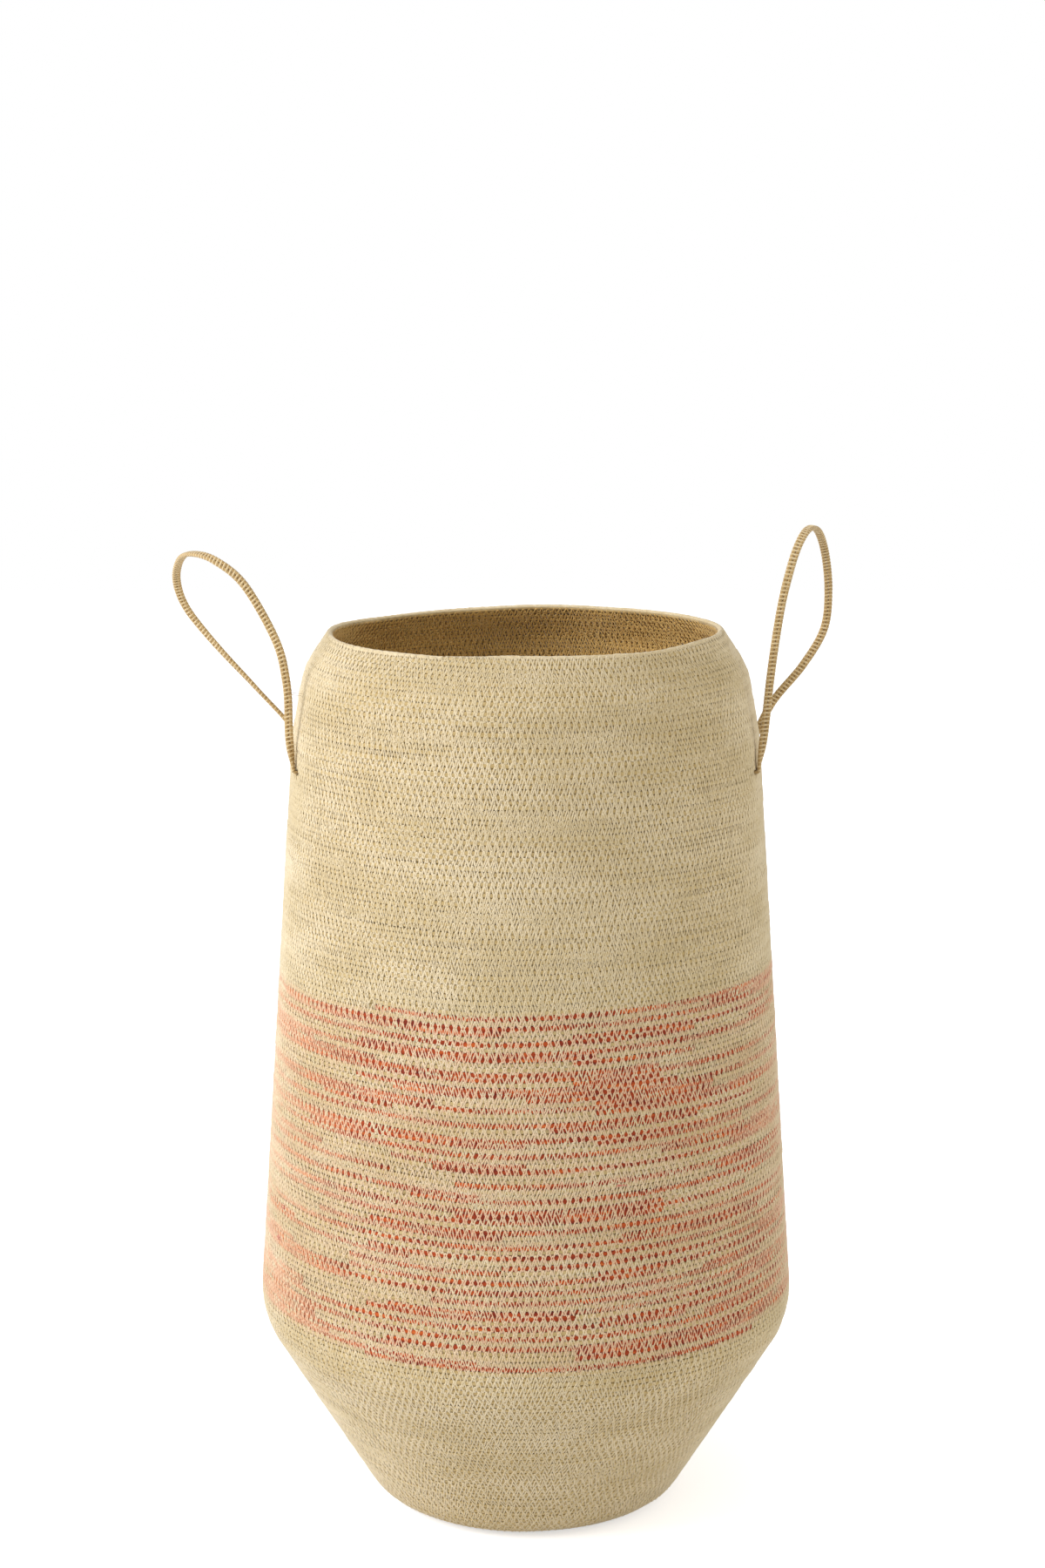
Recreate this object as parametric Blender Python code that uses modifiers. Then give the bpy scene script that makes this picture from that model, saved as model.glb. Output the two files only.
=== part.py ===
"""Tall belly basket, coiled and sewn from seagrass cord, with a dyed band and two cord handles.

Metres, +Z up. The origin is the middle of the base, on the surface that the basket stands on.
The front faces -Y, and the two handles stand at the left (-X) and the right (+X).
"""
import math

import bmesh
import bpy
from mathutils import Vector

# Outline of the wall: corners of its outer side, each rounded by its own fillet
BASE_CORNER_RADIUS = 0.1125
BASE_FILLET = 0.016
BASE_FLAT_MARGIN = 0.0020
BELLY_CORNER_RADIUS = 0.2028
BELLY_CORNER_HEIGHT = 0.1493
BELLY_FILLET = 0.072
SHOULDER_RADIUS = 0.1735
SHOULDER_HEIGHT = 0.590
SHOULDER_FILLET = 0.150
NECK_RADIUS = 0.1645
NECK_RISE = 0.050
NECK_FILLET = 0.060
RIM_RADIUS = 0.1460
RIM_RISE = 0.0275
NECK_HEIGHT = SHOULDER_HEIGHT + NECK_RISE
RIM_HEIGHT = NECK_HEIGHT + RIM_RISE
NECK_FILLET_STEPS = 4
SHOULDER_FILLET_STEPS = 3
BELLY_FILLET_STEPS = 7
BASE_FILLET_STEPS = 5

# Cords and clearance
WALL_THICKNESS = 0.0044
RIM_CORD_DIAMETER = 0.0048
SEAM_GAP = 0.0003
WALL_SEGMENTS = 44
RIM_COIL_SIDES = 10

# Dyed band
BAND_RISE = 0.0112
BAND_HEIGHT = 0.2635
BAND_BOTTOM = BELLY_CORNER_HEIGHT + BAND_RISE
BAND_TOP = BAND_BOTTOM + BAND_HEIGHT
DYED_SEAT_DEPTH = 0.0014
DYED_CORD_HEIGHT = 0.0034
DYED_CORD_THICKNESS = 0.0015
DYED_END_MARGIN = 0.0038
DYED_TURNS = 24
DYED_CLOSING_SHARE = 0.216

# Handles: flat cord strips that pass through slits in the wall
FOOT_DROP = 0.0220
FOOT_HEIGHT = SHOULDER_HEIGHT - FOOT_DROP
FOOT_ANGLE = math.radians(16.0)
STRIP_WIDTH = 0.0074
STRIP_THICKNESS = 0.0046
LEFT_LOOP_HEIGHT = 0.1570
LEFT_LOOP_REACH = 0.0900
RIGHT_LOOP_HEIGHT = 0.1750
RIGHT_LOOP_REACH = 0.0560
STRIP_RINGS_PER_POINT = 4
STRIP_EDGE_ROUNDING = 0.0011
FOOT_OVERHANG = 0.0008
FOOT_GAP = 0.0003
FOOT_TWIST_LENGTH = 0.0300
SLIT_CLEARANCE = 0.0004
SLIT_OVERRUN_SHARE = 3.0
TAIL_LENGTH = 0.0420
TAIL_INNER_BEND = 0.0006
TAIL_CLEARANCE = 0.0006
TAIL_BEND_STEPS = 4
TAIL_STEPS = 3
LASHING_DIAMETER = 0.0022
LASHING_DROP = 0.0240

NATURAL = (0.62, 0.48, 0.27)
NATURAL_DARK = (0.52, 0.40, 0.22)
DYED_RED = (0.42, 0.08, 0.03)
THREAD = (0.80, 0.70, 0.50)
WALL_ROUGHNESS = 0.85
CORD_ROUGHNESS = 0.80
THREAD_ROUGHNESS = 0.70


def clear_scene():
    for old in list(bpy.data.objects):
        bpy.data.objects.remove(old, do_unlink=True)


def new_collection(name):
    collection = bpy.data.collections.new(name)
    bpy.context.scene.collection.children.link(collection)
    return collection


def cord_material(name, colour, roughness):
    material = bpy.data.materials.new(name)
    material.use_nodes = True
    shader = material.node_tree.nodes["Principled BSDF"]
    shader.inputs["Base Color"].default_value = (*colour, 1.0)
    shader.inputs["Roughness"].default_value = roughness
    shader.inputs["Metallic"].default_value = 0.0
    return material


def place(obj, collection, material=None):
    """Keep an object in one collection only, and give it its material."""
    for old in list(obj.users_collection):
        old.objects.unlink(obj)
    collection.objects.link(obj)
    if material:
        obj.data.materials.append(material)
    return obj


# The outline

def rounded_corner(before, corner, after, radius, steps):
    """Points of the arc that rounds a corner between two straight stretches."""
    to_before = (before - corner).normalized()
    to_after = (after - corner).normalized()
    half_angle = to_before.angle(to_after) / 2
    centre = corner + (to_before + to_after).normalized() * (radius / math.sin(half_angle))
    reach = radius / math.tan(half_angle)
    first = corner + to_before * reach - centre
    last = corner + to_after * reach - centre
    turn = first.angle(last)
    arc = []
    for step in range(steps + 1):
        share = step / steps
        start_weight = math.sin((1 - share) * turn) / math.sin(turn)
        end_weight = math.sin(share * turn) / math.sin(turn)
        arc.append(centre + first * start_weight + last * end_weight)
    return arc


def wall_outline():
    """Outer side of the whole wall as (radius, height), from the rim down to the base."""
    rim = Vector((RIM_RADIUS, RIM_HEIGHT))
    neck = Vector((NECK_RADIUS, NECK_HEIGHT))
    shoulder = Vector((SHOULDER_RADIUS, SHOULDER_HEIGHT))
    belly = Vector((BELLY_CORNER_RADIUS, BELLY_CORNER_HEIGHT))
    base = Vector((BASE_CORNER_RADIUS, 0.0))
    middle = Vector((0.0, 0.0))
    points = [rim]
    points += rounded_corner(rim, neck, shoulder, NECK_FILLET, NECK_FILLET_STEPS)
    points += rounded_corner(neck, shoulder, belly, SHOULDER_FILLET, SHOULDER_FILLET_STEPS)
    points += rounded_corner(shoulder, belly, base, BELLY_FILLET, BELLY_FILLET_STEPS)
    points += rounded_corner(belly, base, middle, BASE_FILLET, BASE_FILLET_STEPS)
    points.append(points[-1] - Vector((BASE_FLAT_MARGIN, 0.0)))
    return points


def radius_at(outline, height):
    """Outer radius of the wall at a height, along the outline's straight steps."""
    for upper, lower in zip(outline, outline[1:]):
        if lower.y <= height <= upper.y:
            share = (upper.y - height) / (upper.y - lower.y)
            return upper.x + (lower.x - upper.x) * share
    return outline[-1].x


def slice_outline(outline, top, bottom):
    """The stretch of the outline between two heights."""
    inner = [point.copy() for point in outline if bottom < point.y < top]
    first = Vector((radius_at(outline, top), top))
    last = Vector((radius_at(outline, bottom), bottom))
    return [first] + inner + [last]


def outline_below(outline, top):
    """The outline from a height down to the edge of the flat base."""
    first = Vector((radius_at(outline, top), top))
    return [first] + [point.copy() for point in outline if point.y < top]


def moved_inward(points, distance):
    """The same outline, moved square to itself towards the axis."""
    moved = []
    for index, point in enumerate(points):
        before = points[max(index - 1, 0)]
        after = points[min(index + 1, len(points) - 1)]
        along = (after - before).normalized()
        moved.append(point + Vector((along.y, -along.x)) * distance)
    return moved


# Walls and base

def turned_wall(name, points, thickness, colour, collection):
    """A wall section: its outer line is turned about the axis and given its thickness inward."""
    mesh = bpy.data.meshes.new(name)
    bm = bmesh.new()
    verts = [bm.verts.new((point.x, 0.0, point.y)) for point in points]
    for upper, lower in zip(verts, verts[1:]):
        bm.edges.new((upper, lower))
    bm.to_mesh(mesh)
    bm.free()
    wall = place(bpy.data.objects.new(name, mesh), collection, cord_material(name, colour, WALL_ROUGHNESS))
    turn = wall.modifiers.new("turn", "SCREW")
    turn.axis = "Z"
    turn.steps = WALL_SEGMENTS
    turn.render_steps = WALL_SEGMENTS
    turn.use_merge_vertices = False
    turn.use_smooth_shade = True
    shell = wall.modifiers.new("thickness", "SOLIDIFY")
    shell.thickness = thickness
    shell.offset = -1.0
    shell.use_even_offset = True
    return wall


def base_disc(outline, collection):
    """The flat coiled bottom, inside the lowest turn of the foot."""
    radius = outline[-1].x - SEAM_GAP
    bpy.ops.mesh.primitive_cylinder_add(
        vertices=WALL_SEGMENTS, radius=radius, depth=WALL_THICKNESS,
        location=(0.0, 0.0, WALL_THICKNESS / 2))
    disc = bpy.context.object
    disc.name = "base_disc"
    disc.data.name = "base_disc"
    return place(disc, collection, cord_material("base_coil", NATURAL_DARK, WALL_ROUGHNESS))


def rim_coil(outline, collection):
    """The last turn of cord, which finishes the edge of the mouth."""
    end = outline[0]
    down = (outline[1] - end).normalized()
    inward = Vector((down.y, -down.x))
    centre = end + down * (RIM_CORD_DIAMETER / 2) + inward * (WALL_THICKNESS / 2)
    bpy.ops.mesh.primitive_torus_add(
        major_segments=WALL_SEGMENTS, minor_segments=RIM_COIL_SIDES,
        major_radius=centre.x, minor_radius=RIM_CORD_DIAMETER / 2,
        location=(0.0, 0.0, centre.y))
    coil = bpy.context.object
    coil.name = "rim_coil"
    coil.data.name = "rim_coil"
    return place(coil, collection, cord_material("rim_cord", NATURAL, CORD_ROUGHNESS))


def below_rim(outline):
    """The outline without the stretch that the rim coil takes up."""
    end = outline[0]
    down = (outline[1] - end).normalized()
    return [end + down * (RIM_CORD_DIAMETER + SEAM_GAP)] + outline[1:]


# Dyed cord

def dyed_cord_route(outline):
    """Middle line of the dyed cord, from its upper end down, with turns that draw closer."""
    top = BAND_TOP - DYED_END_MARGIN
    fall = top - (BAND_BOTTOM + DYED_END_MARGIN)
    seat = slice_outline(outline, BAND_TOP, BAND_BOTTOM)
    seat = moved_inward(seat, DYED_SEAT_DEPTH - SEAM_GAP - DYED_CORD_THICKNESS / 2)
    route = []
    for step in range(DYED_TURNS * WALL_SEGMENTS + 1):
        share = step / (DYED_TURNS * WALL_SEGMENTS)
        fallen = share * (1 + DYED_CLOSING_SHARE) - DYED_CLOSING_SHARE * share ** 2
        height = top - fall * fallen
        radius = radius_at(seat, height)
        angle = step * math.tau / WALL_SEGMENTS
        route.append(Vector((radius * math.cos(angle), radius * math.sin(angle), height)))
    return route


def least_gap(route):
    """Least clear distance between one turn of the dyed cord and the next."""
    gaps = []
    for here, below in zip(route, route[WALL_SEGMENTS:]):
        gaps.append((below - here).length - DYED_CORD_HEIGHT)
    return min(gaps)


def section_curve(name, corners, guides):
    """A closed flat outline that a curve object takes as its cross-section."""
    data = bpy.data.curves.new(name, "CURVE")
    data.dimensions = "2D"
    spline = data.splines.new("POLY")
    spline.points.add(len(corners) - 1)
    for point, corner in zip(spline.points, corners):
        point.co = (corner[0], corner[1], 0.0, 1.0)
    spline.use_cyclic_u = True
    section = place(bpy.data.objects.new(name, data), guides)
    section.hide_render = True
    section.display_type = "WIRE"
    return section


def poly_curve(name, route, material, collection):
    """A curve object through the points of a route, with closed ends."""
    data = bpy.data.curves.new(name, "CURVE")
    data.dimensions = "3D"
    spline = data.splines.new("POLY")
    spline.points.add(len(route) - 1)
    for point, place_on_route in zip(spline.points, route):
        point.co = (*place_on_route, 1.0)
    data.use_fill_caps = True
    return place(bpy.data.objects.new(name, data), collection, material)


def dyed_cord(outline, collection, guides):
    """One cord of red seagrass, wound round the belly between the natural turns."""
    half_height = DYED_CORD_HEIGHT / 2
    half_thickness = DYED_CORD_THICKNESS / 2
    face_half = half_height - half_thickness
    corners = [
        (-half_thickness, -half_height),
        (-half_thickness, half_height),
        (half_thickness, face_half),
        (half_thickness, -face_half),
    ]
    route = dyed_cord_route(outline)
    print("dyed cord, least gap between turns (mm):", round(least_gap(route) * 1000, 2))
    section = section_curve("dyed_cord_section", corners, guides)
    red = cord_material("dyed_cord", DYED_RED, CORD_ROUGHNESS)
    cord = poly_curve("dyed_cord", route, red, collection)
    cord.data.twist_mode = "Z_UP"
    cord.data.bevel_mode = "OBJECT"
    cord.data.bevel_object = section
    return cord


# Handles

# Loop routes, from the front foot over the top to the back foot.
# Each point is (out from the wall, along the wall, up), as shares of the loop's
# reach, half the distance between its feet, and its height.
LEFT_LOOP_SHARES = [
    (0.00, -1.00, 0.00), (0.02, -1.00, 0.14), (0.05, -0.98, 0.42), (0.12, -0.96, 0.62),
    (0.36, -0.92, 0.87), (0.60, -0.78, 0.98), (0.80, -0.40, 1.00), (0.93, 0.10, 0.96),
    (1.00, 0.62, 0.85), (0.96, 0.92, 0.72), (0.80, 1.02, 0.58), (0.40, 1.02, 0.31),
    (0.12, 1.00, 0.14), (0.00, 1.00, 0.00),
]
RIGHT_LOOP_SHARES = [
    (0.00, -1.00, 0.00), (0.03, -1.00, 0.12), (0.11, -0.98, 0.40), (0.22, -0.96, 0.66),
    (0.33, -0.90, 0.82), (0.46, -0.74, 0.94), (0.62, -0.38, 1.00), (0.78, 0.06, 0.98),
    (0.92, 0.52, 0.87), (1.00, 0.86, 0.70), (0.96, 1.00, 0.53), (0.68, 1.02, 0.37),
    (0.26, 1.01, 0.20), (0.00, 1.00, 0.00),
]


def smooth_route(points, steps):
    """Points on a smooth curve that passes through the given points."""
    route = []
    for index in range(len(points) - 1):
        before = points[max(index - 1, 0)]
        start = points[index]
        end = points[index + 1]
        after = points[min(index + 2, len(points) - 1)]
        for step in range(steps):
            t = step / steps
            bend = (2 * before - 5 * start + 4 * end - after) * t ** 2
            swing = (3 * start - before - 3 * end + after) * t ** 3
            route.append(start + ((end - before) * t + bend + swing) / 2)
    return route + [points[-1]]


def flat_strip(name, route, width_directions, colour, collection):
    """A sewn strip of cord: a ribbon along its route, thickened and with its edges rounded."""
    mesh = bpy.data.meshes.new(name)
    bm = bmesh.new()
    rails = []
    for point, direction in zip(route, width_directions):
        edge = direction * (STRIP_WIDTH / 2)
        rails.append((bm.verts.new(point - edge), bm.verts.new(point + edge)))
    for here, there in zip(rails, rails[1:]):
        bm.faces.new((here[0], here[1], there[1], there[0]))
    bm.to_mesh(mesh)
    bm.free()
    finish = cord_material(name, colour, CORD_ROUGHNESS)
    strip = place(bpy.data.objects.new(name, mesh), collection, finish)
    thickness = strip.modifiers.new("thickness", "SOLIDIFY")
    thickness.thickness = STRIP_THICKNESS
    thickness.offset = 0.0
    thickness.use_even_offset = True
    edges = strip.modifiers.new("edges", "BEVEL")
    edges.width = STRIP_EDGE_ROUNDING
    edges.segments = 1
    edges.limit_method = "ANGLE"
    edges.angle_limit = math.radians(60.0)
    return strip


def foot_half_spread(outline):
    """Half the distance between a handle's two feet."""
    return radius_at(outline, FOOT_HEIGHT) * math.sin(FOOT_ANGLE)


def hinge_distance(outline):
    """Distance from the basket's axis to the line through a handle's two feet.

    The feet lie square to that line, so each touches the round wall first with the edge
    that is nearer to the other foot.
    """
    near_edge = foot_half_spread(outline) - STRIP_WIDTH / 2
    wall = math.sqrt(radius_at(outline, FOOT_HEIGHT) ** 2 - near_edge ** 2)
    return wall + FOOT_GAP + STRIP_THICKNESS / 2


def across_wall(side, along):
    """Level direction along the wall's surface at one foot."""
    angle = along * FOOT_ANGLE
    return Vector((-side * math.sin(angle), math.cos(angle), 0.0))


def loop_widths(route, side, reach, height):
    """Way that the strip's width faces: along the hinge at the feet, then square to the loop."""
    hinge = Vector((0.0, 1.0, 0.0))
    leaning = Vector((height, 0.0, -side * reach / 2)).normalized()
    lengths = [0.0]
    for here, there in zip(route, route[1:]):
        lengths.append(lengths[-1] + (there - here).length)
    directions = []
    for index, point in enumerate(route):
        tangent = (route[min(index + 1, len(route) - 1)] - route[max(index - 1, 0)]).normalized()
        along = -1 if index < len(route) / 2 else 1
        from_foot = min(lengths[index], lengths[-1] - lengths[index])
        share = min(max(from_foot - FOOT_OVERHANG, 0.0) / FOOT_TWIST_LENGTH, 1.0)
        turn = (3 * share ** 2 - 2 * share ** 3) * math.pi / 2
        direction = hinge * math.cos(turn) - leaning * along * math.sin(turn)
        direction -= tangent * direction.dot(tangent)
        directions.append(direction.normalized())
    return directions


def untwisted(directions):
    """Directions turned over where needed, so that the ribbon never flips between two points."""
    kept = [directions[0]]
    for direction in directions[1:]:
        kept.append(direction if direction.dot(kept[-1]) >= 0 else -direction)
    return kept


def handle(name, side, shares, reach, height, outline, collection):
    """A loop of flat cord, hinged on the line through its two feet."""
    half_spread = foot_half_spread(outline)
    points = [Vector((side * out * reach, along * half_spread, up * height))
              for out, along, up in shares]
    below = Vector((0.0, 0.0, FOOT_OVERHANG))
    route = smooth_route(points, STRIP_RINGS_PER_POINT)
    route = [route[0] - below] + route[1:-1] + [route[-1] - below]
    widths = untwisted(loop_widths(route, side, reach, height))
    loop = flat_strip(name, route, widths, NATURAL, collection)
    loop.location = (side * hinge_distance(outline), 0.0, FOOT_HEIGHT)
    return loop


# Handle ends: where the strip goes in through the wall, and how it is sewn down inside

def radial(side, along):
    """Level direction outward through one foot."""
    angle = along * FOOT_ANGLE
    return Vector((side * math.cos(angle), math.sin(angle), 0.0))


def slit_cutter(side, along, outline, guides):
    """Box that opens the slit between two turns of cord, which one end of a handle fills."""
    radius = radius_at(outline, FOOT_HEIGHT) - WALL_THICKNESS / 2
    direction = radial(side, along)
    bpy.ops.mesh.primitive_cube_add(
        size=1.0, location=(*(direction * radius).xy, FOOT_HEIGHT),
        rotation=(0.0, 0.0, math.atan2(direction.y, direction.x)))
    cutter = bpy.context.object
    cutter.name = "slit_cutter"
    cutter.scale = (WALL_THICKNESS * SLIT_OVERRUN_SHARE, STRIP_WIDTH + 2 * SLIT_CLEARANCE,
                    STRIP_THICKNESS + 2 * SLIT_CLEARANCE)
    cutter.hide_render = True
    cutter.display_type = "WIRE"
    return place(cutter, guides)


def cut_slits(wall, outline, guides):
    for side in (-1, 1):
        for along in (-1, 1):
            cut = wall.modifiers.new("slit", "BOOLEAN")
            cut.operation = "DIFFERENCE"
            cut.solver = "EXACT"
            cut.object = slit_cutter(side, along, outline, guides)


def tail_route(outline):
    """Middle line of a sewn-in end as (radius, height): in through the slit, then down the wall."""
    offset = WALL_THICKNESS + TAIL_CLEARANCE + STRIP_THICKNESS / 2
    mouth = radius_at(outline, FOOT_HEIGHT)
    down_radius = radius_at(outline, FOOT_HEIGHT) - offset
    bend = TAIL_INNER_BEND + STRIP_THICKNESS / 2
    centre = Vector((down_radius + bend, FOOT_HEIGHT - bend))
    route = [Vector((mouth, FOOT_HEIGHT))]
    for step in range(TAIL_BEND_STEPS + 1):
        angle = math.pi / 2 + step / TAIL_BEND_STEPS * math.pi / 2
        route.append(centre + Vector((math.cos(angle), math.sin(angle))) * bend)
    for step in range(1, TAIL_STEPS + 1):
        height = centre.y - step / TAIL_STEPS * (TAIL_LENGTH - bend)
        route.append(Vector((radius_at(outline, height) - offset, height)))
    return route


def tail(name, side, along, outline, collection):
    """One end of a handle, which lies flat on the inside of the wall."""
    direction = radial(side, along)
    route = [direction * point.x + Vector((0.0, 0.0, point.y)) for point in tail_route(outline)]
    widths = [across_wall(side, along)] * len(route)
    return flat_strip(name, route, widths, NATURAL_DARK, collection)


def lashing(name, side, along, outline, collection):
    """Bundle of thread over a sewn-in end, with both of its ends in the wall."""
    height = FOOT_HEIGHT - LASHING_DROP
    wall = radius_at(outline, height) - WALL_THICKNESS - TAIL_CLEARANCE
    over = wall - STRIP_THICKNESS - SEAM_GAP - LASHING_DIAMETER / 2
    beside = STRIP_WIDTH / 2 + SEAM_GAP + LASHING_DIAMETER / 2
    rounding = LASHING_DIAMETER
    half = [(beside, wall), (beside, over + rounding), (beside - rounding, over)]
    stations = half + [(-across, radius) for across, radius in reversed(half)]
    outward = radial(side, along)
    level = across_wall(side, along)
    route = [outward * radius + level * across + Vector((0.0, 0.0, height))
             for across, radius in stations]
    finish = cord_material(name, THREAD, THREAD_ROUGHNESS)
    thread = poly_curve(name, route, finish, collection)
    thread.data.bevel_depth = LASHING_DIAMETER / 2
    thread.data.bevel_resolution = 1
    return thread


def main():
    clear_scene()
    parts = new_collection("belly_basket")
    guides = new_collection("guides")
    outline = wall_outline()

    base_disc(outline, parts)
    foot = outline_below(outline, BAND_BOTTOM - SEAM_GAP)
    turned_wall("foot_wall", foot, WALL_THICKNESS, NATURAL_DARK, parts)
    band = moved_inward(slice_outline(outline, BAND_TOP, BAND_BOTTOM), DYED_SEAT_DEPTH)
    turned_wall("band_wall", band, WALL_THICKNESS - DYED_SEAT_DEPTH, NATURAL, parts)
    dyed_cord(outline, parts, guides)
    upper = below_rim(outline)
    upper = slice_outline(upper, upper[0].y, BAND_TOP + SEAM_GAP)
    upper_wall = turned_wall("upper_wall", upper, WALL_THICKNESS, NATURAL, parts)
    cut_slits(upper_wall, outline, guides)
    rim_coil(outline, parts)

    handle("handle_left", -1, LEFT_LOOP_SHARES, LEFT_LOOP_REACH, LEFT_LOOP_HEIGHT, outline, parts)
    handle("handle_right", 1, RIGHT_LOOP_SHARES, RIGHT_LOOP_REACH, RIGHT_LOOP_HEIGHT,
           outline, parts)
    for side, side_name in ((-1, "left"), (1, "right")):
        for along, along_name in ((-1, "front"), (1, "back")):
            where = side_name + "_" + along_name
            tail("tail_" + where, side, along, outline, parts)
            lashing("lashing_" + where, side, along, outline, parts)


main()
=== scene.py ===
"""Belly basket: seagrass cord coiled into a wall and sewn with thread, with a dyed band and two loops.

Metres, +Z up. The front faces -Y, and the two handles stand at the left (-X) and the right (+X).
"""
import math

import bmesh
import bpy
import numpy as np
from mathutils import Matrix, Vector


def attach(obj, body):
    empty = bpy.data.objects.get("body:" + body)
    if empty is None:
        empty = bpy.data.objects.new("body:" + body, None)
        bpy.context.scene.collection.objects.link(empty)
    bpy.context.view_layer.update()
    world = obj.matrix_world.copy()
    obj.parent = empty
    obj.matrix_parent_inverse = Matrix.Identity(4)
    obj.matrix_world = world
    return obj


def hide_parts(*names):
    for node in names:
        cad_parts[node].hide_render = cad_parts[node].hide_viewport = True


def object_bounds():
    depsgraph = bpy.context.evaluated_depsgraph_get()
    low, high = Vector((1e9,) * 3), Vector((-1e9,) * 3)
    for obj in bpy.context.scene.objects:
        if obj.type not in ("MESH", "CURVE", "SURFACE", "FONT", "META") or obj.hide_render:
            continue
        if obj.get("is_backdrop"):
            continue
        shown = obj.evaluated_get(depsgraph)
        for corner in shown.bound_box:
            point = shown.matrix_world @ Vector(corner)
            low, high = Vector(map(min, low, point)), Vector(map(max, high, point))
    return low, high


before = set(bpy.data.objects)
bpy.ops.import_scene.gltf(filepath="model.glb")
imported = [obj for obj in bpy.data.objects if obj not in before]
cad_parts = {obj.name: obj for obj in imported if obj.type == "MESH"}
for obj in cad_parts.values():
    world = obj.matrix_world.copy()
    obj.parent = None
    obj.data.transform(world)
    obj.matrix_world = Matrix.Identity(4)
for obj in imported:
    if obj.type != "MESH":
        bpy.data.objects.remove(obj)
cad_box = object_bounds()


# The base. One natural seagrass cord is coiled flat from the middle of the bottom outwards,
# and the same cord then turns up and makes the whole wall, so the wall's outline and the way
# along the cord are laid down here. Turns are counted from the cord's end at the rim, downwards.
BASE_CORNER = Vector((0.1110, 0.0))
BASE_FILLET = 0.036
BASE_FLAT_MARGIN = 0.0020
BELLY_CORNER = Vector((0.2030, 0.1494))
BELLY_FILLET = 0.062
SHOULDER = Vector((0.1735, 0.590))
SHOULDER_FILLET = 0.150
NECK = Vector((0.1645, 0.640))
NECK_FILLET = 0.060
RIM = Vector((0.1460, 0.6675))
SPARE_ABOVE_RIM = 0.010
FILLET_STEPS = 16
ARC_STEP = 0.0005
LEAN_SMOOTHING = 13

CORD_THICKNESS = 0.0044
ROW_PITCH = 0.00363
FOOT_PITCH = 0.00404
CORD_OVERLAP = 1.06
STEPS_PER_TURN = 80
RIM_END_AZIMUTH = math.radians(-113.0)
UNEVEN_PER_TURN = 22
UNEVEN_DEPTH = 0.00018
UNEVEN_HEIGHT = 0.00012

# Heights of the highest and the lowest dyed row at the middle of the front
TOP_DYED_HEIGHT = 0.4170
BOTTOM_DYED_HEIGHT = 0.1663
TURNS_IN_BAND = 69

# How far the rows stand above an even course, in millimetres: for rows below the first dyed one,
# at these azimuths in degrees
ROW_WAVE_AZIMUTHS = (-151, -126, -101, -89, -64, -39, 90)
ROW_WAVE = {
    -26: (0, 0, 0, 0, 0, 0, 0), 0: (-1.5, 0.2, -1.5, 0.5, 2.8, 3.5, 0.4),
    16: (0.6, 1.0, -1.1, 0.3, 1.3, 1.0, -0.6), 32: (2.0, 3.2, 0.0, 0.2, 2.5, 2.2, 0.3),
    48: (-0.1, 0.0, -0.4, 0.3, 2.8, 3.5, -0.4), 68: (0.5, -0.3, -0.4, -0.2, 0.8, 1.7, 0.2),
    86: (0, 0, 0, 0, 0, 0, 0),
}
ROW_WAVE_SMOOTHING = 15


def rounded_corner(before, corner, after, radius):
    """Points of the arc that rounds a corner between two straight stretches."""
    to_before = (before - corner).normalized()
    to_after = (after - corner).normalized()
    half_angle = to_before.angle(to_after) / 2
    centre = corner + (to_before + to_after).normalized() * (radius / math.sin(half_angle))
    reach = radius / math.tan(half_angle)
    first = corner + to_before * reach - centre
    last = corner + to_after * reach - centre
    turn = first.angle(last)
    arc = []
    for step in range(FILLET_STEPS + 1):
        share = step / FILLET_STEPS
        start_weight = math.sin((1 - share) * turn) / math.sin(turn)
        end_weight = math.sin(share * turn) / math.sin(turn)
        arc.append(centre + first * start_weight + last * end_weight)
    return arc


MIDDLE = Vector((0.0, 0.0))
outline = [MIDDLE]
outline += rounded_corner(MIDDLE, BASE_CORNER, BELLY_CORNER, BASE_FILLET)
outline += rounded_corner(BASE_CORNER, BELLY_CORNER, SHOULDER, BELLY_FILLET)
outline += rounded_corner(BELLY_CORNER, SHOULDER, NECK, SHOULDER_FILLET)
outline += rounded_corner(SHOULDER, NECK, RIM, NECK_FILLET)
outline += [RIM, RIM + (RIM - NECK).normalized() * SPARE_ABOVE_RIM]
corner_points = np.array([point[:] for point in outline])
corner_arcs = np.append(0.0, np.cumsum(np.linalg.norm(np.diff(corner_points, axis=0), axis=1)))
arcs = np.arange(0.0, corner_arcs[-1], ARC_STEP)
radii = np.interp(arcs, corner_arcs, corner_points[:, 0])
heights = np.interp(arcs, corner_arcs, corner_points[:, 1])
raw_leans = np.arctan2(-np.gradient(radii), np.gradient(heights))
padded_leans = np.pad(raw_leans, LEAN_SMOOTHING // 2, mode="edge")
leans = np.convolve(padded_leans, np.ones(LEAN_SMOOTHING) / LEAN_SMOOTHING, mode="valid")

rim_arc = corner_arcs[-1] - SPARE_ABOVE_RIM - CORD_THICKNESS / 2 + ROW_PITCH / 2
edge_arc = outline[1].x - BASE_FLAT_MARGIN
wall_arcs = arcs > outline[FILLET_STEPS + 1].x
top_dyed_arc, bottom_dyed_arc = np.interp(
    [TOP_DYED_HEIGHT, BOTTOM_DYED_HEIGHT], heights[wall_arcs], arcs[wall_arcs])

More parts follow.
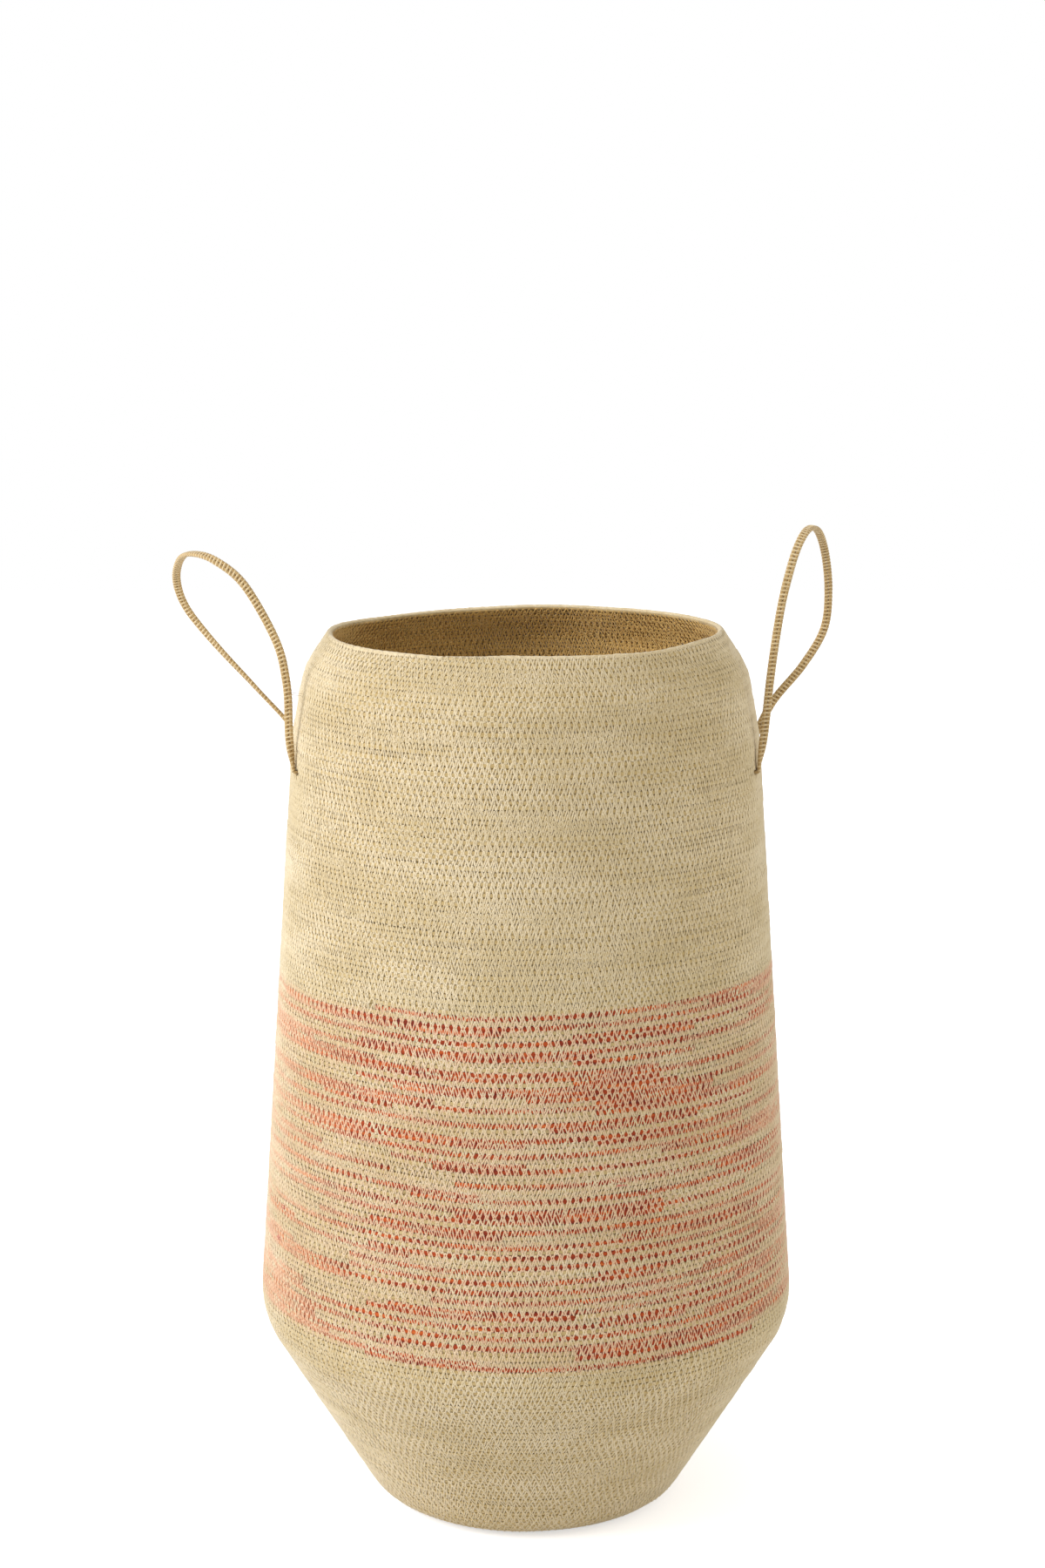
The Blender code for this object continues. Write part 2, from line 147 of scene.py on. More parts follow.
# Where each turn of the cord lies: at the rim's end, the dyed rows, the base's edge, the middle
front_share = (math.radians(-90.0) - RIM_END_AZIMUTH) / math.tau
top_dyed_turn = front_share + round((rim_arc - top_dyed_arc) / ROW_PITCH - front_share)
bottom_dyed_turn = top_dyed_turn + TURNS_IN_BAND
edge_turn = bottom_dyed_turn + round((bottom_dyed_arc - edge_arc) / FOOT_PITCH)
middle_turn = edge_turn + edge_arc / FOOT_PITCH
known_turns = [0.0, top_dyed_turn, bottom_dyed_turn, edge_turn, middle_turn]
known_arcs = [rim_arc, top_dyed_arc, bottom_dyed_arc, edge_arc, ROW_PITCH * 0.3]

degrees_round = np.arange(-180, 180)
row_waves = []
for rises in ROW_WAVE.values():
    rise = np.interp(degrees_round, ROW_WAVE_AZIMUTHS, rises, period=360) / 1000
    smoothing = np.ones(ROW_WAVE_SMOOTHING) / ROW_WAVE_SMOOTHING
    row_waves.append(np.convolve(np.tile(rise, 3), smoothing, mode="same")[360:720])

chance = np.random.default_rng(11)
uneven_count = (int(middle_turn) + 3) * UNEVEN_PER_TURN
uneven_depths = chance.normal(0.0, UNEVEN_DEPTH, uneven_count)
uneven_heights = chance.normal(0.0, UNEVEN_HEIGHT, uneven_count)


def row_wave(turn):
    """How far a row stands above its even course."""
    degrees = (np.degrees(RIM_END_AZIMUTH + turn * math.tau) + 180) % 360 - 180
    rows = turn - top_dyed_turn
    rise = 0.0
    for number, wave in enumerate(row_waves):
        weight = np.interp(rows, list(ROW_WAVE), np.eye(len(row_waves))[number])
        rise = rise + weight * np.interp(degrees, degrees_round, wave, period=360)
    return rise


def on_wall(turn, rise, depth):
    """Points at turns of the cord, risen along the wall and sunk below its outer side, with tilts."""
    azimuth = RIM_END_AZIMUTH + turn * math.tau
    knot = turn * UNEVEN_PER_TURN
    places = np.arange(uneven_count)
    arc = np.interp(turn, known_turns, known_arcs) + rise + np.interp(knot, places, uneven_heights)
    arc = arc + row_wave(turn)
    lean = np.interp(arc, arcs, leans)
    sunk = depth + np.interp(knot, places, uneven_depths)
    radius = np.interp(arc, arcs, radii) - np.cos(lean) * sunk
    height = np.interp(arc, arcs, heights) - np.sin(lean) * sunk
    height = np.maximum(height, np.minimum(depth, CORD_THICKNESS / 2))
    points = np.column_stack([radius * np.cos(azimuth), radius * np.sin(azimuth), height])
    return points, -lean


def swept(name, runs, corners, twist="Z_UP"):
    """A piece of cord or thread: a section, given by its corners, is drawn along every run.

    A run has points, tilts and sizes, and may carry a number at each point for the material.
    The piece's UV map is the length along the run, in metres, and the share of the way round.
    """
    section = bpy.data.curves.new(name + "_section", "CURVE")
    section.dimensions = "2D"
    edge = section.splines.new("POLY")
    edge.points.add(len(corners) - 1)
    edge.points.foreach_set("co", [value for x, y in corners for value in (x, y, 0.0, 1.0)])
    edge.use_cyclic_u = True
    section_object = bpy.data.objects.new(name + "_section", section)
    bpy.context.scene.collection.objects.link(section_object)

    line = bpy.data.curves.new(name + "_line", "CURVE")
    line.dimensions = "3D"
    line.twist_mode = twist
    line.bevel_mode = "OBJECT"
    line.bevel_object = section_object
    for run in runs:
        points = run["points"]
        spline = line.splines.new("POLY")
        spline.points.add(len(points) - 1)
        spline.points.foreach_set("co", np.column_stack([points, np.ones(len(points))]).ravel())
        if "tilts" in run:
            spline.points.foreach_set("tilt", run["tilts"])
        if "sizes" in run:
            spline.points.foreach_set("radius", run["sizes"])
    line_object = bpy.data.objects.new(name + "_line", line)
    bpy.context.scene.collection.objects.link(line_object)
    mesh = bpy.data.meshes.new_from_object(
        line_object.evaluated_get(bpy.context.evaluated_depsgraph_get()))
    for guide in (line_object, section_object):
        bpy.data.objects.remove(guide)

    lengths = []
    for run in runs:
        steps = np.linalg.norm(np.diff(run["points"], axis=0), axis=1)
        lengths.append(np.append(0.0, np.cumsum(steps)))
    lengths = np.concatenate(lengths)
    corner_vertices = np.empty(len(mesh.loops), np.int32)
    mesh.loops.foreach_get("vertex_index", corner_vertices)
    places = np.empty(len(mesh.loops) * 2, np.float32)
    mesh.uv_layers[0].data.foreach_get("uv", places)
    places[0::2] = lengths[corner_vertices // len(corners)]
    mesh.uv_layers[0].data.foreach_set("uv", places)
    for carried in runs[0].get("carried", {}):
        values = np.concatenate([run["carried"][carried] for run in runs])
        attribute = mesh.attributes.new(carried, "FLOAT", "POINT")
        attribute.data.foreach_set("value", np.repeat(values, len(corners)).astype(np.float32))
    bm = bmesh.new()
    bm.from_mesh(mesh)
    bmesh.ops.holes_fill(bm, edges=[edge for edge in bm.edges if edge.is_boundary])
    bm.to_mesh(mesh)
    bm.free()
    mesh.name = name
    mesh.materials.clear()
    piece = bpy.data.objects.new(name, mesh)
    bpy.context.scene.collection.objects.link(piece)
    return piece


half_thickness = CORD_THICKNESS / 2
half_height = ROW_PITCH / 2 * CORD_OVERLAP
CORD_CORNERS = [
    (half_thickness * 0.58, -half_height), (half_thickness * 0.92, -half_height * 0.62),
    (half_thickness, 0.0), (half_thickness * 0.92, half_height * 0.62),
    (half_thickness * 0.58, half_height), (-half_thickness * 0.6, half_height),
    (-half_thickness, 0.0), (-half_thickness * 0.6, -half_height),
]
foot_corners = [(x, y * FOOT_PITCH / ROW_PITCH) for x, y in CORD_CORNERS]


def cord_run(first, last, rise=None):
    """The cord's middle line from one turn to another."""
    turn = np.linspace(first, last, round((last - first) * STEPS_PER_TURN) + 1)
    lift = rise(turn) if rise else 0.0
    points, tilts = on_wall(turn, lift, CORD_THICKNESS / 2)
    return {"points": points, "tilts": tilts}


class Value:
    """What one node gives out. Sums with it add Math nodes, and node() adds any other node."""

    def __init__(self, tree, socket=None):
        self.tree = tree
        self.socket = socket

    def node(self, kind, settings=None, values=None, output=0):
        made = self.tree.nodes.new(kind)
        for name, setting in (settings or {}).items():
            if name != "stops":
                setattr(made, name, setting)
                continue
            stops = made.color_ramp.elements
            while len(stops) < len(setting):
                stops.new(1.0)
            for stop, (position, colour) in zip(stops, setting):
                stop.position = position
                stop.color = colour
        for name, value in (values or {}).items():
            if isinstance(value, Value):
                self.tree.links.new(value.socket, made.inputs[name])
            else:
                made.inputs[name].default_value = value
        return Value(self.tree, made.outputs[output])

    def maths(self, operation, first, second):
        return self.node("ShaderNodeMath", {"operation": operation}, {0: first, 1: second})

    def __add__(self, other):
        return self.maths("ADD", self, other)

    def __radd__(self, other):
        return self.maths("ADD", other, self)

    def __sub__(self, other):
        return self.maths("SUBTRACT", self, other)

    def __rsub__(self, other):
        return self.maths("SUBTRACT", other, self)

    def __mul__(self, other):
        return self.maths("MULTIPLY", self, other)

    def __rmul__(self, other):
        return self.maths("MULTIPLY", other, self)


def shade(red, green, blue):
    """A colour as the eye reads it, from 0 to 255, as the shader's own numbers."""
    linear = []
    for level in (red, green, blue):
        level /= 255
        linear.append(level / 12.92 if level <= 0.04045 else ((level + 0.055) / 1.055) ** 2.4)
    return (*linear, 1.0)


def finish(name, roughness):
    """A new material, its shader, and a first value to build its nodes on."""
    material = bpy.data.materials.new(name)
    material.use_nodes = True
    shader = material.node_tree.nodes["Principled BSDF"]
    shader.inputs["Roughness"].default_value = roughness
    shader.inputs["Specular IOR Level"].default_value = 0.25
    shader.inputs["Sheen Weight"].default_value = 0.30
    shader.inputs["Sheen Roughness"].default_value = 0.45
    return material, shader, Value(material.node_tree)


def stretched(start, position, scales):
    """A position with each of its directions scaled."""
    return start.node("ShaderNodeVectorMath", {"operation": "MULTIPLY"}, {0: position, 1: scales})


def grain(start, position, scales, detail=2.0):
    """Noise from 0 to 1, with its own scale in each direction."""
    return start.node("ShaderNodeTexNoise", {}, {
        "Vector": stretched(start, position, scales), "Scale": 1.0, "Detail": detail})


def spread(value, low, high):
    """A share from 0 to 1 that goes up smoothly between two levels."""
    return value.node("ShaderNodeMapRange", {"interpolation_type": "SMOOTHSTEP"},
                      {"Value": value, "From Min": low, "From Max": high})


def mixed(share, first, second):
    """Two colours, mixed by a share."""
    return share.node("ShaderNodeMix", {"data_type": "RGBA"}, {0: share, 6: first, 7: second}, 2)


def connect(value, shader, socket):
    value.tree.links.new(value.socket, shader.inputs[socket])


def along_cord(start):
    """Where a point lies on its cord: its UV map, the length along, and the share of the way round."""
    along = start.node("ShaderNodeUVMap", {"uv_map": "UVMap"})
    length = start.node("ShaderNodeSeparateXYZ", {}, {"Vector": along})
    return along, length, Value(start.tree, length.socket.node.outputs["Y"])


def cord_bump(start, fibres):
    """The cord's strands, which wind round it, and the fibres of its blades, as a bump."""
    along, length, round_cord = along_cord(start)
    winding = length * 820.0 + round_cord * (2 * math.tau)
    strand = winding.maths("SINE", winding, 0.0)
    return start.node("ShaderNodeBump", {}, {
        "Strength": 0.8, "Distance": 0.0006, "Height": strand * 0.35 + fibres})


def facing_out(start):
    """1 on the cord's outer face, 0 in the grooves above and below it, -1 on its inner face."""
    along, length, round_cord = along_cord(start)
    angle = round_cord * math.tau
    return angle.maths("SINE", angle, 0.0)


def groove_shade_share(start):
    """Share of painted shade: from 1 down in the groove between two rows of cord to 0 on the cord's open faces."""
    facing = facing_out(start)
    return 1 - spread(facing.maths("ABSOLUTE", facing, 0.0), 0.05, 0.80)


def natural_cord(name, light, middle, dark, groove_shade=None, inner_bounce_light=None, painted_inner_from=0.0):
    """Dried seagrass: straw and olive tones in streaks along the rows, with dark specks of blade; painted shade in
    the grooves and painted bounce light on the inner face, where given.
    """
    material, shader, start = finish(name, 0.78)
    position = start.node("ShaderNodeTexCoord", output=3)
    patches = grain(start, position, (9.0, 9.0, 14.0), 3.0)
    streaks = grain(start, position, (38.0, 38.0, 330.0), 2.0)
    specks = grain(start, position, (420.0, 420.0, 620.0), 1.0)
    fibres = grain(start, along_cord(start)[0], (110.0, 26.0, 1.0), 2.0)
    tone = spread(streaks * 0.40 + patches * 0.25 + fibres * 0.35, 0.36, 0.63)
    colour = mixed(tone, middle, light)
    colour = mixed(spread(specks * 0.6 + fibres * 0.4, 0.52, 0.64) * 0.4, colour, dark)
    if inner_bounce_light:
        # Painted light on the inner face: a warm golden colour stands in for light bounced inside the basket, and
        # the dark brown towards the inner grooves is painted shade.
        facing_in = -1 * facing_out(start)
        inner_shade_and_bounce = mixed(spread(facing_in, 0.72, 0.96), shade(112, 80, 30), mixed(tone, dark, inner_bounce_light))
        colour = mixed(spread(facing_in, painted_inner_from, painted_inner_from + 0.5), colour, inner_shade_and_bounce)
    # Painted shade: the colour goes over to a darker groove colour in the grooves between rows.
    if groove_shade:
        colour = mixed(groove_shade_share(start), colour, groove_shade)
    connect(colour, shader, "Base Color")
    connect(0.70 + 0.18 * specks, shader, "Roughness")
    connect(cord_bump(start, fibres), shader, "Normal")
    return material


# The fourth colour is painted shade in the grooves, and the golden fifth colour is painted warm bounce light on the
# inner face.
wall_cord = natural_cord("natural_cord", shade(208, 184, 132), shade(190, 162, 104), shade(150, 120, 62),
                         shade(164, 134, 70), shade(236, 192, 108))

base_coil = swept("base_coil", [cord_run(edge_turn, middle_turn)], foot_corners)
base_coil.data.materials.append(wall_cord)
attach(base_coil, "basket")
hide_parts("base_disc")


# The foot. The cord turns up round the edge of the base and climbs in widening turns, each
# sewn on to the one below, as far as the first turns of the band.
band_start = top_dyed_turn - 1.1
band_end = bottom_dyed_turn + 1.1

foot_coil = swept("foot_coil", [cord_run(band_end, edge_turn)], foot_corners)
foot_coil.data.materials.append(wall_cord)
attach(foot_coil, "basket")
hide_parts("foot_wall")


# The band's natural lengths. The cord was dyed in lengths before it was coiled, so natural and
# dyed lengths follow each other down the band, and each is a fifth of a turn to two turns long.

# Each dyed length: its row below the first one at the front, and the azimuths, in degrees, where
# it starts and ends. An end past 180 has gone round the back and on to the next row.
DYED_LENGTHS = [
    (0, -125, 55), (1, -45, 625), (4, -80, 310), (6, -30, 80), (7, -130, 285), (9, -320, -145),
    (9, -80, -50), (10, -240, -125), (11, -240, -60), (12, -290, 20), (13, -80, -60), (14, -130, -55),
    (15, -120, 20), (16, -90, -45), (17, -320, -110), (17, -75, -45), (18, -240, 150), (19, -140, -120),
    (19, -75, 80), (21, -320, -30), (22, -85, -50), (24, -290, 270), (25, -75, -35), (26, -145, -125),
    (27, -210, 150), (28, -60, 80), (29, -120, -90), (29, -40, 220), (30, -110, 80), (32, -290, -120),
    (33, -105, 20), (34, -45, 260), (36, -115, 80), (37, -35, 300), (39, -105, -35), (40, -290, -60),
    (42, -125, 20), (43, -140, -95), (44, -70, 330), (47, -265, -150), (47, -125, 245), (49, -95, 80),
    (50, -130, -95), (50, -30, 55), (51, -75, 210), (52, -130, -60), (53, -290, -130), (53, -50, 330),
    (55, -265, -130), (56, -110, 80), (57, -40, 80), (58, -120, 215), (59, -125, -80), (60, -320, -145),
    (60, -75, 305), (62, -210, -150), (62, -50, 580), (65, -265, -140), (65, -120, 245), (66, -80, 225),
    (67, -80, 260), (69, -125, -35),
]
dyed_rows, dyed_firsts, dyed_lasts = np.array(DYED_LENGTHS).T
dyed_starts = top_dyed_turn + dyed_rows + (dyed_firsts + 90) / 360
dyed_ends = top_dyed_turn + dyed_rows + (dyed_lasts + 90) / 360
natural_starts = np.append(band_start, dyed_ends)
natural_ends = np.append(dyed_starts, band_end)

band_coil = swept("band_coil", [cord_run(first, last) for first, last in zip(natural_starts, natural_ends)],
                  CORD_CORNERS)
band_coil.data.materials.append(wall_cord)
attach(band_coil, "basket")
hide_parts("band_wall")


# The dyed lengths. The same cord, dyed red before it was coiled, about thirty-five turns of it in
# all. The dye took unevenly, from dark red through rust to orange. On the left side, where the key
# lamp falls, the red is painted paler: a painted highlight.
DYED_SIZE = (1.06, 1.16)

dyed_finish, dyed_shader, dyed = finish("dyed_cord", 0.72)
dyed_shader.inputs["Sheen Weight"].default_value = 0.0
dyed_position = dyed.node("ShaderNodeTexCoord", output=3)
dye_patches = grain(dyed, dyed_position, (34.0, 34.0, 260.0), 2.0)
dye_bleed = grain(dyed, dyed_position, (120.0, 120.0, 300.0), 2.0)
dye_colour = dyed.node("ShaderNodeValToRGB", {"stops": [
    (0.30, shade(96, 26, 10)), (0.42, shade(134, 44, 14)), (0.52, shade(164, 62, 20)),
    (0.62, shade(194, 88, 30)), (0.74, shade(214, 128, 64))]}, {"Fac": dye_patches * 0.6 + dye_bleed * 0.4})
dye_across = dyed.node("ShaderNodeSeparateXYZ", {}, {"Vector": dyed_position})
# Painted highlight: the red is mixed towards a pale salmon on the left side, where the key lamp falls.
dye_painted_highlight = spread(-1 * dye_across + 0.04 * dye_bleed, 0.13, 0.22) * 0.60
# Painted shade: the dyed cord goes over to a deep red in the grooves between rows.
dye_colour = mixed(groove_shade_share(dyed), dye_colour, shade(88, 24, 8))
connect(mixed(dye_painted_highlight, dye_colour, shade(214, 158, 112)), dyed_shader, "Base Color")
connect(0.64 + 0.2 * dye_bleed, dyed_shader, "Roughness")
connect(cord_bump(dyed, dye_bleed), dyed_shader, "Normal")

dyed_corners = [(x * DYED_SIZE[0], y * DYED_SIZE[1]) for x, y in CORD_CORNERS]
dyed_turns = swept("dyed_turns", [cord_run(first, last) for first, last in zip(dyed_starts, dyed_ends)],
                   dyed_corners)
dyed_turns.data.materials.append(dyed_finish)
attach(dyed_turns, "basket")
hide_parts("dyed_cord")


# The upper wall. Natural cord again, drawn in over the shoulder to the neck. Four slits are left
# between two of its turns, where the ends of the handles go in, and the mouth has gone wavy.
FOOT_HEIGHT = 0.568
FOOT_ANGLE = math.radians(16.0)
SLIT_HALF_HEIGHT = 0.0025
SLIT_HALF_LENGTH = 0.0085
SLIT_FADE = 0.0070
WAVE_START = 0.585
WAVE_SMOOTHING = 21

# How far the mouth rises, in millimetres, at azimuths in degrees
MOUTH_WAVE = [
    (-180, 2.0), (-166, 0.3), (-140, -0.4), (-119, 0.2), (-98, -1.2), (-71, -1.8), (-55, -2.3),
    (-34, 1.2), (4, 1.8), (32, 1.0), (50, 1.8), (68, 1.2), (84, 2.6), (100, 0.2), (115, -1.1),
    (142, -2.4), (165, 0.8), (180, 2.0),
]
wave_azimuths, wave_rises = np.array(MOUTH_WAVE).T
wave_degrees = np.arange(-180, 180)
wave = np.interp(wave_degrees, wave_azimuths, wave_rises) / 1000
wave = np.convolve(np.tile(wave, 3), np.ones(WAVE_SMOOTHING) / WAVE_SMOOTHING, mode="same")[360:720]
foot_arc, wave_arc = np.interp([FOOT_HEIGHT, WAVE_START], heights[wall_arcs], arcs[wall_arcs])

slits = []
for side_azimuth in (0.0, math.pi):
    for turned in (-FOOT_ANGLE, FOOT_ANGLE):
        share = (side_azimuth + turned - RIM_END_AZIMUTH) / math.tau % 1.0
        exact = np.interp(-foot_arc, -np.array(known_arcs[:2]), known_turns[:2])
        slits.append(share + round(exact - share - 0.5) + 0.5)


def from_slit(turn, slit):
    """Level distance along the wall from a slit, and turns of cord up from it."""
    near = turn - slit + 0.5
    sideways = near - np.round(near)
    return sideways * math.tau * np.interp(foot_arc, arcs, radii), slit + sideways - turn


def risen(turn):
    """How far the cord lies above its even course: at the slits, and near the mouth."""
    arc = np.interp(turn, known_turns, known_arcs)
    degrees = np.degrees(RIM_END_AZIMUTH + turn * math.tau)
    share = np.clip((arc - wave_arc) / (rim_arc - wave_arc), 0.0, 1.0)
    rise = np.interp((degrees + 180) % 360 - 180, wave_degrees, wave, period=360) * share ** 1.5
    for slit in slits:
        level, up = from_slit(turn, slit)
        middle = np.interp(slit, known_turns, known_arcs)
        needed = np.where(up > 0, SLIT_HALF_HEIGHT + foot_arc - middle, SLIT_HALF_HEIGHT - foot_arc + middle)
        fade = np.exp(-(level / SLIT_HALF_LENGTH) ** 4) * np.exp(-(np.abs(up) - 0.5) * ROW_PITCH / SLIT_FADE)
        rise = rise + np.sign(up) * needed * np.where(np.abs(up) < 9, fade, 0.0)
    return rise


upper_coil = swept("upper_coil", [cord_run(1.0, band_start, risen)], CORD_CORNERS)
upper_coil.data.materials.append(wall_cord)
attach(upper_coil, "basket")
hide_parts("upper_wall")


# The rim. The last turn of the same cord finishes the mouth. Its end is thinned and tucked down
# against the turn below, a little to the left of the middle of the front.
RIM_TAPER_TURNS = 0.05
RIM_TAPER_SIZE = 0.25
RIM_STEPS = 420
RIM_PINCH = 0.055


def rim_thinning(turn):
    """How much of the cord's thickness is gone, near its end at the rim."""
    return (1 - RIM_TAPER_SIZE) * (1 - np.clip(turn / RIM_TAPER_TURNS, 0.0, 1.0))


# The golden colour is painted warm bounce light on the rim's inner face, where the cord faces the inside by more
# than 0.60.
rim_finish = natural_cord("rim_cord", shade(232, 213, 172), shade(216, 193, 146), shade(176, 148, 94),
                          None, shade(236, 200, 126), 0.60)
rim_share = np.linspace(0.0, 1.0, RIM_STEPS)
rim_points, rim_tilts = on_wall(rim_share, risen(rim_share), CORD_THICKNESS / 2)
rim_points[:, 2] -= rim_thinning(rim_share) * ROW_PITCH / 2
rim_sizes = (1 - rim_thinning(rim_share)) * (1 + np.clip(chance.normal(0.0, RIM_PINCH, RIM_STEPS), -0.10, 0.10))
rim_turn = swept("rim_turn", [{"points": rim_points, "tilts": rim_tilts, "sizes": rim_sizes}], CORD_CORNERS)
rim_turn.data.materials.append(rim_finish)
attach(rim_turn, "basket")
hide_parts("rim_coil")


# The sewing thread. One zigzag seam joins each turn of cord to the next, from the mouth down to
# the middle of the base. The stitches are wide, so each cord is crossed by the seams above and
# below it, and beside a dyed turn the thread has taken up a little of the dye.
UPPER_STITCH_LENGTH = 0.00505
BAND_STITCH_LENGTH = 0.00580
FOOT_STITCH_LENGTH = 0.00565
STITCH_DRIFT = 0.035
DRIFT_LENGTH = 0.25
TIP_REACH = 0.00172
TIP_FLAT = 0.00060
RIM_TIP_DROP = 0.00165
DEEP_TIP_REACH = 0.00095
TIP_ALONG_JITTER = 0.00032
TIP_UP_JITTER = 0.00032
# The thread's flat section, as points out from the cord and across, where it turns at a tip
THREAD_CORNERS = [(-0.00028, -0.00092), (0.00028, 0.0), (-0.00028, 0.00092)]
INNER_THREAD_CORNERS = [(0.00026, 0.00080), (-0.00026, 0.0), (0.00026, -0.00080)]
DEEP_THREAD_CORNERS = [(0.00040, 0.00110), (-0.00026, 0.0), (0.00040, -0.00110)]
COUNTS_PER_TURN = 60
SEAM_CENTRE_MARGIN = 1.6
SLIT_STITCH_GAP = 0.0048
BAND_STAIN = 0.28
STITCHES_PER_PIECE = 7600

grid_turns = np.arange(0.0, middle_turn - SEAM_CENTRE_MARGIN, 1 / COUNTS_PER_TURN)
grid_arcs = np.interp(grid_turns + 0.5, known_turns, known_arcs)
grid_lengths = np.cumsum(np.interp(grid_arcs, arcs, radii)) * math.tau / COUNTS_PER_TURN
drift_knots = np.arange(0.0, grid_lengths[-1] + DRIFT_LENGTH, DRIFT_LENGTH)
drift = np.interp(grid_lengths, drift_knots, chance.normal(1.0, STITCH_DRIFT, len(drift_knots)))
stitches = np.interp(
    grid_turns, [band_start - 2, band_start + 2, band_end - 2, band_end + 2],
    [UPPER_STITCH_LENGTH, BAND_STITCH_LENGTH, BAND_STITCH_LENGTH, FOOT_STITCH_LENGTH])
counts = np.cumsum(np.gradient(grid_lengths) / (stitches * drift / 2))
tip_counts = np.arange(1, int(counts[-1]))
tip_turns = np.interp(tip_counts, counts, grid_turns)
tip_radii = np.interp(np.interp(tip_turns + 0.5, known_turns, known_arcs), arcs, radii)
turns_per_metre = 1 / (math.tau * tip_radii)
tip_turns = tip_turns + chance.normal(0.0, TIP_ALONG_JITTER, len(tip_turns)) * turns_per_metre
tip_low = tip_counts % 2
tip_rows = tip_turns + tip_low
tip_strays = chance.normal(0.0, TIP_UP_JITTER, len(tip_turns))
tip_dyed = np.searchsorted(np.sort(np.append(dyed_starts, dyed_ends)), tip_rows) % 2
in_band = (tip_rows > top_dyed_turn) & (tip_rows < bottom_dyed_turn)
tip_stains = np.maximum(tip_dyed, in_band * BAND_STAIN)

tip_open = np.ones(len(tip_turns), bool)
for slit in slits:
    level, up = from_slit(tip_turns, slit)
    tip_open &= ~((np.abs(level) < SLIT_STITCH_GAP) & (np.abs(up - 0.5) < 0.1))


def thread_finish(name, dark, light, edge=None):
    """Undyed sewing thread, stained where it lies on dyed cord, and darker where its sides go in, as painted shade.
    """
    material, shader, start = finish(name, 0.66)
    position = start.node("ShaderNodeTexCoord", output=3)
    patches = grain(start, position, (14.0, 14.0, 30.0), 3.0)
    flecks = grain(start, position, (300.0, 300.0, 300.0), 1.0)
    colour = mixed(spread(patches * 0.6 + flecks * 0.4, 0.35, 0.65), dark, light)
    stain = start.node("ShaderNodeAttribute", {"attribute_name": "dye"}, output=2)
    stain_patches = grain(start, position, (60.0, 60.0, 260.0), 2.0)
    colour = mixed(stain * spread(stain_patches, 0.28, 0.56) * 0.65, colour, shade(226, 168, 132))
    # Painted shade on the thread's sides where they go in beside the cord; over dyed cord this darker colour is a
    # reddish brown.
    if edge:
        from_top = along_cord(start)[2] - 1 / 3
        sides = spread(from_top.maths("ABSOLUTE", from_top, 0.0), 0.12, 0.36)
        colour = mixed(sides * 0.7, colour, mixed(stain, edge, shade(160, 84, 44)))
    connect(colour, shader, "Base Color")
    return material


# The sewing thread's last colour is painted shade on its sides.
thread = thread_finish("sewing_thread", shade(213, 193, 149), shade(230, 212, 174), shade(178, 152, 100))
# Painted light: the inside thread's golden colours stand in for warm light bounced inside the basket, and its last
# colour is painted shade on its sides.
bounce_lit_inner_thread = thread_finish("bounce_lit_inner_thread", shade(214, 174, 98), shade(236, 198, 122), shade(156, 116, 52))


def seam(name, chosen, outside, deep=False):
    """The zigzag over some of the seams, as a piece of its own, on one side of the wall.

    Deep inside the basket the tips are plainer points.
    """
    reach = DEEP_TIP_REACH if deep else TIP_REACH
    depth = 0.0 if outside else CORD_THICKNESS
    corners = DEEP_THREAD_CORNERS if deep else THREAD_CORNERS if outside else INNER_THREAD_CORNERS
    runs = []
    for stretch in np.split(chosen, np.flatnonzero(~tip_open[chosen])):
        stretch = stretch[tip_open[stretch]]
        if len(stretch) < 2:
            continue
        rows = tip_rows[stretch]
        offsets = np.where(tip_low[stretch], -reach, reach)
        offsets += np.where(rows < 1.0, 0.3, 1.0) * tip_strays[stretch]
        offsets += risen(rows)
        offsets -= np.where(rows < 1.0, RIM_TIP_DROP + rim_thinning(rows) * ROW_PITCH, 0.0)
        dyed_share = tip_stains[stretch]
        if not deep:
            shift = np.outer(turns_per_metre[stretch], (-TIP_FLAT / 2, TIP_FLAT / 2))
            rows = (rows[:, None] + shift).ravel()
            offsets = np.repeat(offsets, 2)
            dyed_share = np.repeat(dyed_share, 2)
        thinned = rim_thinning(rows) * CORD_THICKNESS / 2
        points, tilts = on_wall(rows, offsets, depth + thinned if outside else depth - thinned)
        points[:, 2] = np.maximum(points[:, 2], THREAD_CORNERS[1][0])
        runs.append({"points": points, "tilts": tilts, "carried": {"dye": dyed_share}})
    piece = swept(name, runs, corners)
    piece.data.materials.append(thread if outside else bounce_lit_inner_thread)
    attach(piece, "basket")


for place, first, last in (("upper", 0.0, band_start), ("band", band_start, band_end),
                           ("foot", band_end, edge_turn)):
    numbers = np.flatnonzero((tip_turns >= first) & (tip_turns < last))
    shares = math.ceil(len(numbers) / 2 / STITCHES_PER_PIECE)
    for number, share in enumerate(np.array_split(numbers, shares)):
        seam(f"thread_{place}_{number + 1}", share, True)
        seam(f"thread_inside_{place}_{number + 1}", share, False, place != "upper")
numbers = np.flatnonzero(tip_turns >= edge_turn)
seam("thread_base", numbers, False, True)
seam("thread_under_base", numbers, True)


